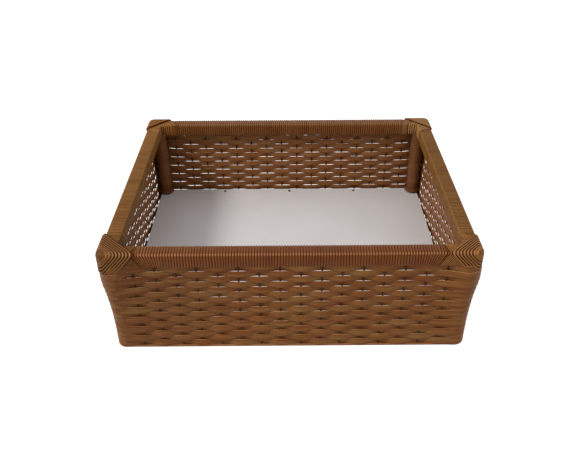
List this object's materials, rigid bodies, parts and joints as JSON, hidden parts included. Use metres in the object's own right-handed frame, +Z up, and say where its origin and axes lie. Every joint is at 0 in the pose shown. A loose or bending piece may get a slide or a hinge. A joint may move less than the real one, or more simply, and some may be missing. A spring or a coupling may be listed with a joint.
{
  "type": "open wicker basket",
  "caption": "Open rectangular basket of woven plastic strand on a wrapped tube frame, with a white board floor and bound rim corners.",
  "frame": {"origin": "on the ground under the middle of the basket", "axes": "+X to the right along the long front wall, +Y to the rear, +Z up"},
  "size_m": [0.4048, 0.3348, 0.1339],
  "materials": {
    "woven_strand": "reddish brown flat strand with ochre and dark streaks, low sheen",
    "wrap_strip": "ochre brown narrow strip, low sheen",
    "stake_cord": "dark brown cord",
    "frame_tube": "brown powder coat, hidden under the wrapping",
    "floor_board": "white faced board, satin",
    "screw": "dark"
  },
  "bodies": {
    "root": {"rim_tube_front": "frame_tube", "rim_tube_right": "frame_tube", "rim_tube_rear": "frame_tube", "rim_tube_left": "frame_tube", "post_tube_front_left": "frame_tube", "post_tube_front_right": "frame_tube", "post_tube_rear_right": "frame_tube", "post_tube_rear_left": "frame_tube", "base_rail_front": "frame_tube", "base_rail_right": "frame_tube", "base_rail_rear": "frame_tube", "base_rail_left": "frame_tube", "rim_wrap_front": "wrap_strip", "rim_wrap_right": "wrap_strip", "rim_wrap_rear": "wrap_strip", "rim_wrap_left": "wrap_strip", "post_wrap_front_left": "wrap_strip", "post_wrap_front_right": "wrap_strip", "post_wrap_rear_right": "wrap_strip", "post_wrap_rear_left": "wrap_strip", "corner_binding_front_left": "wrap_strip", "corner_binding_front_right": "wrap_strip", "corner_binding_rear_right": "wrap_strip", "corner_binding_rear_left": "wrap_strip", "stakes_front": "stake_cord", "stakes_right": "stake_cord", "stakes_rear": "stake_cord", "stakes_left": "stake_cord", "weaver_row_01": "woven_strand", "weaver_row_02": "woven_strand", "weaver_row_03": "woven_strand", "weaver_row_04": "woven_strand", "weaver_row_05": "woven_strand", "weaver_row_06": "woven_strand", "weaver_row_07": "woven_strand", "weaver_row_08": "woven_strand", "weaver_row_09": "woven_strand", "weaver_row_10": "woven_strand", "weaver_row_11": "woven_strand", "weaver_row_12": "woven_strand", "weaver_row_13": "woven_strand", "weaver_row_14": "woven_strand", "weaver_row_15": "woven_strand", "weaver_row_16": "woven_strand", "floor_board": "floor_board", "board_screw_front_left": "screw", "board_screw_front_middle": "screw", "board_screw_front_right": "screw", "board_screw_rear_left": "screw", "board_screw_rear_middle": "screw", "board_screw_rear_right": "screw"}
  },
  "joints": []
}
